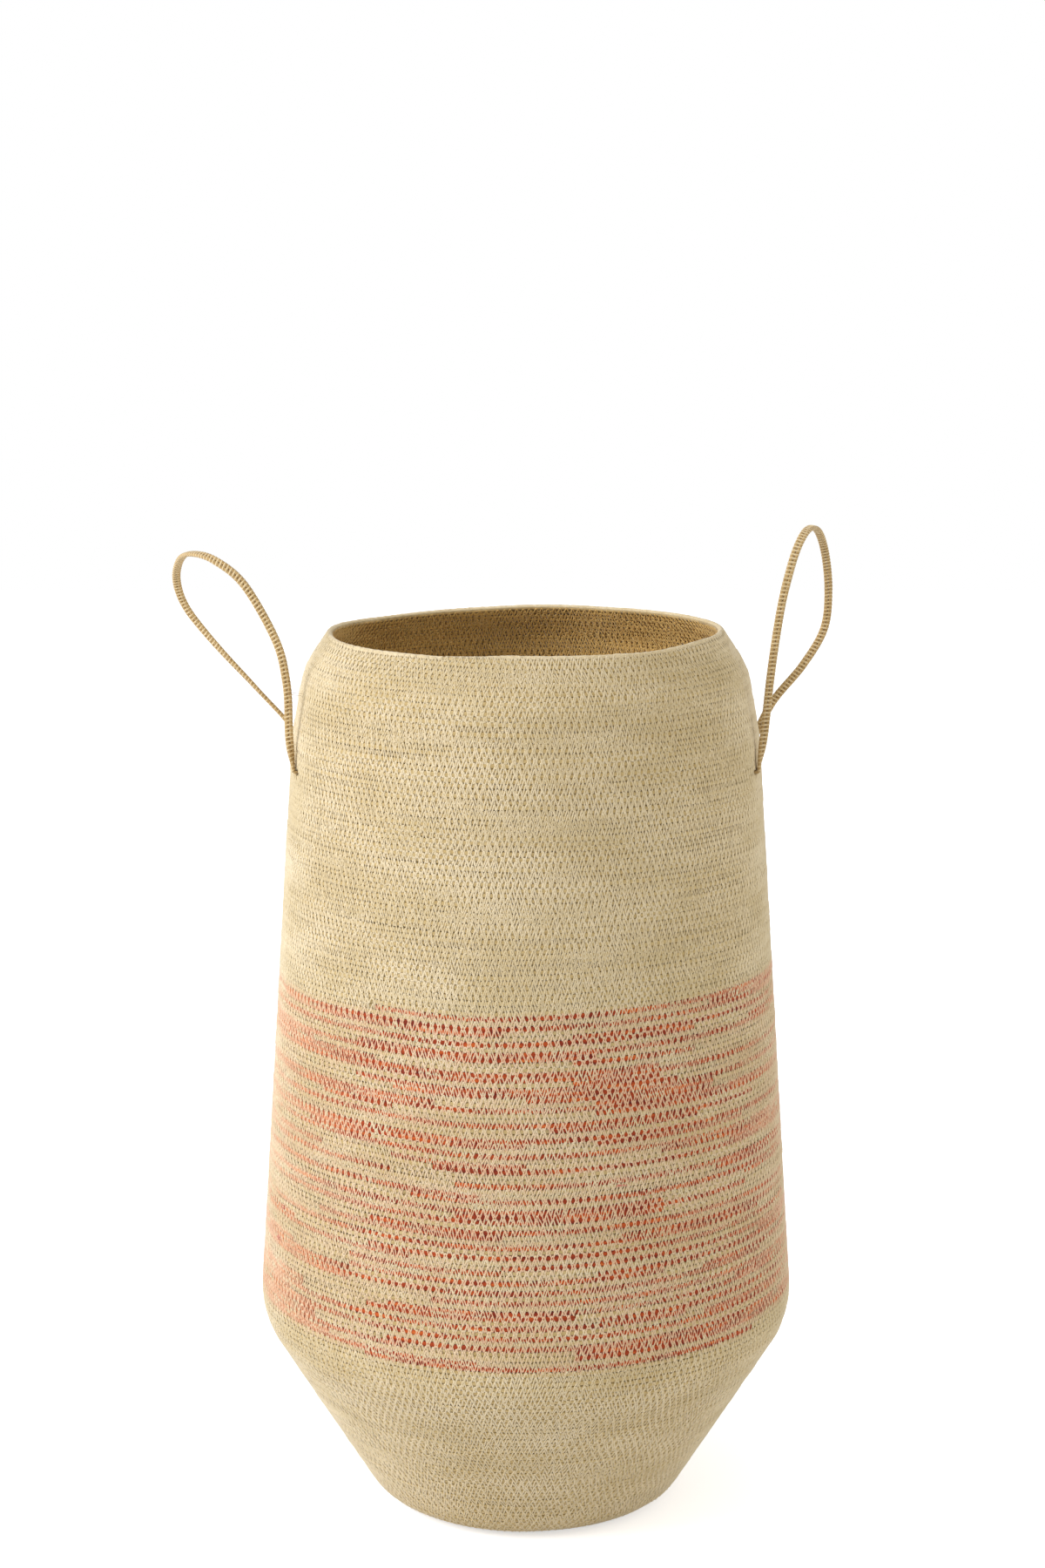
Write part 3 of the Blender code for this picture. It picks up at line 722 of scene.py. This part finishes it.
# The handles. Two loops, each of two thin cords side by side, bound together with thread that
# goes round and round the pair. The strip stands on edge at its feet, which are the hinge.
STRIP_WIDTH = 0.0074
LOOP_CORD_DIAMETER = 0.0031
LOOP_CORD_OFFSET = 0.0015
BINDING_PITCH = 0.0030
BINDING_DIAMETER = 0.0017
BINDING_SUNK = 0.0006
FOOT_SLIMNESS = 0.72
SLIMMING_LENGTH = 0.0120
BINDING_STEPS = 14
BINDING_SQUARENESS = 0.62
BINDING_JITTER = 0.05
LOOP_STEPS = 12
FOOT_TWIST_LENGTH = 0.0300
LEFT_BACK_TWIST_LENGTH = 0.2100
FOOT_TUCK = 0.0017
TUCK_LENGTH = 0.0200
LEFT_LEG_TUCK = 0.0018
LEG_TUCK_HEIGHT = 0.0600
LEG_TUCK_LENGTH = 0.0300
HINGE_DISTANCE = 0.171802
LOOP_SIDES = 8

LEFT_LOOP = (0.0900, 0.1570, [
    (0.00, -1.00, 0.00), (0.02, -1.00, 0.14), (0.05, -0.98, 0.42), (0.12, -0.96, 0.62),
    (0.36, -0.92, 0.87), (0.60, -0.78, 0.98), (0.80, -0.40, 1.00), (0.93, 0.10, 0.96),
    (1.00, 0.62, 0.85), (0.96, 0.92, 0.72), (0.80, 1.02, 0.58), (0.40, 1.02, 0.31),
    (0.12, 1.00, 0.14), (0.00, 1.00, 0.00),
])
RIGHT_LOOP = (0.0560, 0.1750, [
    (0.00, -1.00, 0.00), (0.03, -1.00, 0.12), (0.11, -0.98, 0.40), (0.22, -0.96, 0.66),
    (0.33, -0.90, 0.82), (0.46, -0.74, 0.94), (0.62, -0.38, 1.00), (0.78, 0.06, 0.98),
    (0.92, 0.52, 0.87), (1.00, 0.86, 0.70), (0.96, 1.00, 0.53), (0.68, 1.02, 0.37),
    (0.26, 1.01, 0.20), (0.00, 1.00, 0.00),
])
foot_radius = float(np.interp(foot_arc, arcs, radii))
half_spread = foot_radius * math.sin(FOOT_ANGLE)


def smooth_route(points, steps):
    """Points on a smooth curve that passes through the given points."""
    route = []
    for index in range(len(points) - 1):
        before = points[max(index - 1, 0)]
        start = points[index]
        end = points[index + 1]
        after = points[min(index + 2, len(points) - 1)]
        for step in range(steps):
            t = step / steps
            bend = (2 * before - 5 * start + 4 * end - after) * t ** 2
            swing = (3 * start - before - 3 * end + after) * t ** 3
            route.append(start + ((end - before) * t + bend + swing) / 2)
    return np.array(route + [points[-1]])


def units(vectors):
    return vectors / np.linalg.norm(vectors, axis=1, keepdims=True)


def run_lengths(points):
    """Length along a route at each of its points."""
    return np.append(0.0, np.cumsum(np.linalg.norm(np.diff(points, axis=0), axis=1)))


def loop_frame(side, loop, back_twist):
    """A loop's middle line, and the way that its width faces at each point."""
    reach, height, shares = loop
    hinge = np.array((side * HINGE_DISTANCE, 0.0, FOOT_HEIGHT))
    points = [hinge + np.array((side * out * reach, along * half_spread, up * height))
              for out, along, up in shares]
    route = smooth_route(points, LOOP_STEPS)
    tangents = units(np.gradient(route, axis=0))
    lengths = run_lengths(route)
    share = np.clip(np.minimum(lengths / FOOT_TWIST_LENGTH, (lengths[-1] - lengths) / back_twist), 0.0, 1.0)
    turn = (3 * share ** 2 - 2 * share ** 3) * math.pi / 2
    along = np.where(np.arange(len(route)) < len(route) / 2, -1.0, 1.0)
    leaning = np.array((height, 0.0, -side * reach / 2))
    leaning /= np.linalg.norm(leaning)
    widths = np.outer(np.cos(turn), (0.0, 1.0, 0.0)) - np.outer(along * np.sin(turn), leaning)
    widths -= tangents * np.sum(widths * tangents, axis=1, keepdims=True)
    widths = units(widths)
    for index in range(1, len(widths)):
        if np.dot(widths[index], widths[index - 1]) < 0:
            widths[index] *= -1
    return route, widths


def leg_tuck(side, from_foot):
    """How far the legs lie in towards the wall, by the length up from the foot."""
    tuck = FOOT_TUCK * np.exp(-(from_foot / TUCK_LENGTH) ** 2)
    if side < 0:
        tuck += LEFT_LEG_TUCK * np.exp(-((from_foot - LEG_TUCK_HEIGHT) / LEG_TUCK_LENGTH) ** 2)
    return tuck


def ring_corners(diameter, sides):
    """Corners of a round section."""
    angles = np.arange(sides) * math.tau / sides
    return [(math.cos(angle) * diameter / 2, math.sin(angle) * diameter / 2) for angle in angles]


def strip_cords(route, widths, sizes):
    """Middle lines of the two cords that lie side by side in a strip."""
    aside = widths * (LOOP_CORD_OFFSET * sizes)[:, None]
    return [{"points": route + aside, "sizes": sizes}, {"points": route - aside, "sizes": sizes}]


def binding(route, widths, sizes):
    """Thread wound round both cords of a strip, in a flattened spiral."""
    lengths = run_lengths(route)
    normals = units(np.cross(np.gradient(route, axis=0), widths))
    rounds = lengths[-1] / BINDING_PITCH
    turned = np.linspace(0.0, rounds, round(rounds * BINDING_STEPS))
    knots = np.linspace(0.0, rounds, round(rounds) + 1)
    shifts = chance.normal(0.0, BINDING_JITTER, len(knots))
    shifts[[0, -1]] = 0.0
    turned += np.interp(turned, knots, shifts)
    angle = turned * math.tau
    half_width = LOOP_CORD_OFFSET + LOOP_CORD_DIAMETER / 2 - BINDING_SUNK
    half_thickness = LOOP_CORD_DIAMETER / 2 - BINDING_SUNK
    across = np.sign(np.cos(angle)) * np.abs(np.cos(angle)) ** BINDING_SQUARENESS
    through = np.sign(np.sin(angle)) * np.abs(np.sin(angle)) ** BINDING_SQUARENESS
    at = turned * BINDING_PITCH
    place = np.column_stack([np.interp(at, lengths, route[:, axis]) for axis in range(3)])
    width = np.column_stack([np.interp(at, lengths, widths[:, axis]) for axis in range(3)])
    normal = np.column_stack([np.interp(at, lengths, normals[:, axis]) for axis in range(3)])
    size = np.interp(at, lengths, sizes)
    points = place + width * (across * half_width * size)[:, None]
    points += normal * (through * half_thickness * size)[:, None]
    return {"points": points, "carried": {"dye": np.zeros(len(points))}}


loop_cord = natural_cord("handle_cord", shade(200, 168, 112), shade(176, 142, 88), shade(124, 94, 48))
loop_thread = thread_finish("handle_thread", shade(204, 178, 128), shade(224, 202, 158))

for side, name, loop, back_twist in ((-1, "left", LEFT_LOOP, LEFT_BACK_TWIST_LENGTH),
                                     (1, "right", RIGHT_LOOP, FOOT_TWIST_LENGTH)):
    route, widths = loop_frame(side, loop, back_twist)
    lengths = run_lengths(route)
    from_foot = np.minimum(lengths, lengths[-1] - lengths)
    route[:, 0] -= side * leg_tuck(side, from_foot)
    sizes = np.interp(from_foot, [0.0, SLIMMING_LENGTH], [FOOT_SLIMNESS, 1.0])
    cords = swept("loop_cords_" + name, strip_cords(route, widths, sizes),
                  ring_corners(LOOP_CORD_DIAMETER, LOOP_SIDES), "MINIMUM")
    cords.data.materials.append(loop_cord)
    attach(cords, name + "_loop")
    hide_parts("handle_" + name)
    wound = swept("loop_binding_" + name, [binding(route, widths, sizes)],
                  ring_corners(BINDING_DIAMETER, 6), "MINIMUM")
    wound.data.materials.append(loop_thread)
    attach(wound, name + "_loop")


# The ends of the handles. Each goes in through its slit, turns down and lies flat on the inside
# of the wall. It is the same strip as the loop, so it has the same two cords and the same thread.
TAIL_LENGTH = 0.0420
TAIL_BEND = 0.0030
TAIL_CLEARANCE = 0.0006
TAIL_STEPS = 9
BOUND_FROM = 0.0045
tail_offset = CORD_THICKNESS + TAIL_CLEARANCE + LOOP_CORD_DIAMETER / 2


def wall_radius(height):
    """Outer radius of the wall at a height."""
    return np.interp(height, heights[wall_arcs], radii[wall_arcs])


def tail_frame(side, along):
    """Middle line and width direction of one end, from the hinge in and down the wall."""
    angle = along * FOOT_ANGLE
    outward = np.array((side * math.cos(angle), math.sin(angle), 0.0))
    across = np.array((-side * math.sin(angle), math.cos(angle), 0.0))
    down_radius = foot_radius - tail_offset
    points = [np.array((side * (HINGE_DISTANCE - FOOT_TUCK), along * half_spread, FOOT_HEIGHT)),
              outward * foot_radius + np.array((0.0, 0.0, FOOT_HEIGHT))]
    for step in range(5):
        bend = math.pi / 2 * (1 + step / 4)
        radius = down_radius + TAIL_BEND + math.cos(bend) * TAIL_BEND
        points.append(outward * radius + np.array((0.0, 0.0, FOOT_HEIGHT - TAIL_BEND + math.sin(bend) * TAIL_BEND)))
    for step in range(1, TAIL_STEPS + 1):
        height = FOOT_HEIGHT - TAIL_BEND - step / TAIL_STEPS * (TAIL_LENGTH - TAIL_BEND)
        points.append(outward * (wall_radius(height) - tail_offset) + np.array((0.0, 0.0, height)))
    route = smooth_route(points, 3)
    share = np.clip(run_lengths(route) / 0.004, 0.0, 1.0)[:, None]
    return route, units((1 - share) * np.array((0.0, 1.0, 0.0)) + share * across)


for side, side_name in ((-1, "left"), (1, "right")):
    for along, along_name in ((-1, "front"), (1, "back")):
        where = side_name + "_" + along_name
        route, widths = tail_frame(side, along)
        lengths = run_lengths(route)
        sizes = np.interp(lengths, [0.0, SLIMMING_LENGTH], [FOOT_SLIMNESS, 1.0])
        cords = swept("end_cords_" + where, strip_cords(route, widths, sizes),
                      ring_corners(LOOP_CORD_DIAMETER, LOOP_SIDES), "MINIMUM")
        cords.data.materials.append(loop_cord)
        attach(cords, "basket")
        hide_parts("tail_" + where)
        inside = lengths > BOUND_FROM
        wound = swept("end_binding_" + where, [binding(route[inside], widths[inside], sizes[inside])],
                      ring_corners(BINDING_DIAMETER, 6), "MINIMUM")
        wound.data.materials.append(loop_thread)
        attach(wound, "basket")


# The lashings. Six rounds of thread go through the wall on both sides of each handle's end and
# hold it down flat.
LASHING_DROP = 0.0240
LASHING_STRANDS = 6
LASHING_SPREAD = 0.0046
LASHING_DIAMETER = 0.0009


def lashing_strand(side, along, height, slant):
    """One strand, out of the wall, over the strip and back into the wall."""
    angle = along * FOOT_ANGLE
    outward = np.array((side * math.cos(angle), math.sin(angle), 0.0))
    across = np.array((-side * math.sin(angle), math.cos(angle), 0.0))
    wall = wall_radius(height) - CORD_THICKNESS
    over = wall_radius(height) - tail_offset - LOOP_CORD_DIAMETER / 2 - BINDING_DIAMETER / 2
    half = [(0.0046, wall + 0.0008), (0.0045, wall - 0.0014), (0.0036, over + 0.0004), (0.0018, over - 0.0001)]
    stations = half + [(-level, radius) for level, radius in reversed(half)]
    points = [outward * radius + across * level + np.array((0.0, 0.0, height + slant * level))
              for level, radius in stations]
    return {"points": smooth_route(points, 3), "carried": {"dye": np.zeros(len(stations) * 3 - 2)}}


for side, side_name in ((-1, "left"), (1, "right")):
    for along, along_name in ((-1, "front"), (1, "back")):
        where = side_name + "_" + along_name
        strands = []
        for strand in range(LASHING_STRANDS):
            height = FOOT_HEIGHT - LASHING_DROP + LASHING_SPREAD * (strand / (LASHING_STRANDS - 1) - 0.5)
            strands.append(lashing_strand(side, along, height, chance.normal(0.0, 0.12)))
        lashing = swept("lashing_strands_" + where, strands, ring_corners(LASHING_DIAMETER, 6), "MINIMUM")
        lashing.data.materials.append(thread)
        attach(lashing, "basket")
        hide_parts("lashing_" + where)


# Loose fibres. Ends of seagrass blade that have sprung out of the cord, as they do on any new
# basket of this kind.
FIBRE_COUNT = 90
FIBRE_THICKNESS = 0.00022

fibres = []
for number in range(FIBRE_COUNT):
    turn = chance.uniform(1.0, edge_turn)
    length = chance.uniform(0.003, 0.010)
    steps = np.linspace(0.0, 1.0, 6)
    lift = chance.uniform(0.0004, 0.0026)
    climb = chance.uniform(-0.6, 0.6)
    circumference = math.tau * np.interp(np.interp(turn, known_turns, known_arcs), arcs, radii)
    points, tilts = on_wall(turn + steps * length / circumference * chance.choice((-1.0, 1.0)),
                            steps * length * climb, 0.0006 - lift * steps ** 1.5)
    fibres.append({"points": points, "sizes": 1.0 - 0.7 * steps})
loose_fibres = swept("loose_fibres", fibres, ring_corners(FIBRE_THICKNESS * 2, 3), "MINIMUM")
loose_fibres.data.materials.append(wall_cord)
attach(loose_fibres, "basket")


# The tufts. Where a dyed length was joined on, a few frayed ends stand out between the stitches,
# and one long hair has come loose from the front of the left handle.
TUFTS = [(21.4, -113.0), (16.5, -146.0), (47.0, -156.0), (54.0, -158.0), (34.0, -70.0)]
TUFT_ENDS = 9
TUFT_THICKNESS = 0.00070
HAIR_HEIGHT = 0.0590
HAIR_LENGTH = 0.0120
HAIR_THICKNESS = 0.00034

tuft_ends = []
for row, azimuth in TUFTS:
    for number in range(TUFT_ENDS):
        turn = top_dyed_turn + row + (azimuth + 90) / 360 + chance.normal(0.0, 0.0011)
        steps = np.linspace(0.0, 1.0, 5)
        circumference = math.tau * np.interp(np.interp(turn, known_turns, known_arcs), arcs, radii)
        along = chance.uniform(0.0014, 0.0034) * chance.choice((-1.0, 1.0))
        points, tilts = on_wall(turn + steps * along / circumference,
                                chance.uniform(-0.0011, 0.0011) + steps * chance.uniform(-0.0012, 0.0012),
                                0.0002 - chance.uniform(0.0005, 0.0012) * np.sin(steps * 2.4))
        tuft_ends.append({"points": points, "sizes": 1.0 - 0.6 * steps})
tufts = swept("dyed_tufts", tuft_ends, ring_corners(TUFT_THICKNESS, 4), "MINIMUM")
tuft_finish, tuft_shader, tuft = finish("dyed_fibre", 0.80)
tuft_grain = grain(tuft, tuft.node("ShaderNodeTexCoord", output=3), (900.0, 900.0, 900.0), 1.0)
connect(mixed(tuft_grain, shade(196, 84, 70), shade(236, 164, 140)), tuft_shader, "Base Color")
tufts.data.materials.append(tuft_finish)
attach(tufts, "basket")

left_route = loop_frame(-1, LEFT_LOOP, LEFT_BACK_TWIST_LENGTH)[0]
front_leg = left_route[:len(left_route) // 2]
rooted = front_leg[np.searchsorted(front_leg[:, 2], FOOT_HEIGHT + HAIR_HEIGHT)] + np.array((LEFT_LEG_TUCK, 0, 0))
hairs = []
for drop, reach in ((0.0, 0.9), (0.0016, 1.0)):
    steps = np.linspace(0.0, 1.0, 9)
    points = rooted + np.column_stack([
        steps * HAIR_LENGTH * reach, -0.0016 - 0.0022 * np.sin(steps * 2.6), -drop - 0.0012 * steps ** 2])
    hairs.append({"points": points, "sizes": 1.0 - 0.5 * steps})
handle_hair = swept("handle_hair", hairs, ring_corners(HAIR_THICKNESS, 4), "MINIMUM")
handle_hair.data.materials.append(loop_cord)
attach(handle_hair, "left_loop")


# The studio. A white floor and sky, with a large soft lamp at the front left, and the camera at
# the height and distance from which the basket was photographed.
FLOOR_SIZE = 12.0


def studio_white(name, colour, glow):
    """A surface that the camera sees as white, and that still takes the basket's shadow."""
    material = bpy.data.materials.new(name)
    material.use_nodes = True
    shader = material.node_tree.nodes["Principled BSDF"]
    shader.inputs["Base Color"].default_value = colour
    shader.inputs["Roughness"].default_value = 1.0
    shader.inputs["Specular IOR Level"].default_value = 0.0
    shader.inputs["Emission Color"].default_value = (1.0, 1.0, 1.0, 1.0)
    start = Value(material.node_tree)
    rays = start.node("ShaderNodeLightPath")
    glossy = Value(start.tree, rays.socket.node.outputs["Is Glossy Ray"])
    seen = rays.maths("MAXIMUM", rays, glossy)
    plain = start.node("ShaderNodeBsdfDiffuse", {}, {"Color": colour})
    glowing = start.node("ShaderNodeEmission", {}, {"Color": (1.0, 1.0, 1.0, 1.0), "Strength": glow})
    lit = start.node("ShaderNodeAddShader", {}, {0: plain, 1: glowing})
    chosen = start.node("ShaderNodeMixShader", {}, {0: seen, 1: plain, 2: lit})
    output = material.node_tree.nodes["Material Output"]
    material.node_tree.links.new(chosen.socket, output.inputs["Surface"])
    return material


floor_mesh = bpy.data.meshes.new("floor")
floor_bm = bmesh.new()
bmesh.ops.create_grid(floor_bm, x_segments=1, y_segments=1, size=FLOOR_SIZE / 2)
floor_bm.to_mesh(floor_mesh)
floor_bm.free()
floor = bpy.data.objects.new("floor", floor_mesh)
bpy.context.scene.collection.objects.link(floor)
floor_mesh.materials.append(studio_white("floor", (0.90, 0.90, 0.90, 1.0), 0.56))
floor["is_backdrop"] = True

world = bpy.data.worlds.new("studio")
world.use_nodes = True
bpy.context.scene.world = world
sky = Value(world.node_tree)
sky_rays = sky.node("ShaderNodeLightPath")
sky_glossy = Value(sky.tree, sky_rays.socket.node.outputs["Is Glossy Ray"])
sky_clear = Value(sky.tree, sky_rays.socket.node.outputs["Is Transmission Ray"])
sky_seen = sky_rays.maths("MAXIMUM", sky_rays.maths("MAXIMUM", sky_rays, sky_glossy), sky_clear)
background = world.node_tree.nodes["Background"]
background.inputs["Color"].default_value = (1.0, 1.0, 1.0, 1.0)
world.node_tree.links.new((0.67 + 0.33 * sky_seen).socket, background.inputs["Strength"])


def soft_lamp(name, place, aim, size, power, tint=(1.0, 1.0, 1.0)):
    data = bpy.data.lights.new(name, "AREA")
    data.color = tint
    data.shape = "DISK"
    data.size = size
    data.energy = power
    lamp = bpy.data.objects.new(name, data)
    lamp.location = place
    lamp.rotation_euler = (Vector(aim) - Vector(place)).to_track_quat("-Z", "Y").to_euler()
    bpy.context.scene.collection.objects.link(lamp)
    return lamp


soft_lamp("key", (-2.85, -1.15, 2.1), (0.0, 0.0, 0.40), 2.4, 91.0, (0.96, 0.98, 1.08))
soft_lamp("fill", (3.10, -0.80, 1.4), (0.0, 0.0, 0.35), 2.0, 15.0, (1.0, 0.96, 0.86))

camera_data = bpy.data.cameras.new("camera")
camera_data.sensor_fit = "VERTICAL"
camera_data.sensor_height = 36.0
camera_data.lens = 70.95
camera = bpy.data.objects.new("camera", camera_data)
camera.location = (-0.0026, -2.2746, 0.9596)
camera.rotation_euler = (math.radians(79.80), 0.0, 0.0)
bpy.context.scene.collection.objects.link(camera)
bpy.context.scene.camera = camera
bpy.context.scene.view_settings.view_transform = "Standard"

sizes = {"cad": [list(corner) for corner in cad_box], "visual": [list(corner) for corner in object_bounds()]}
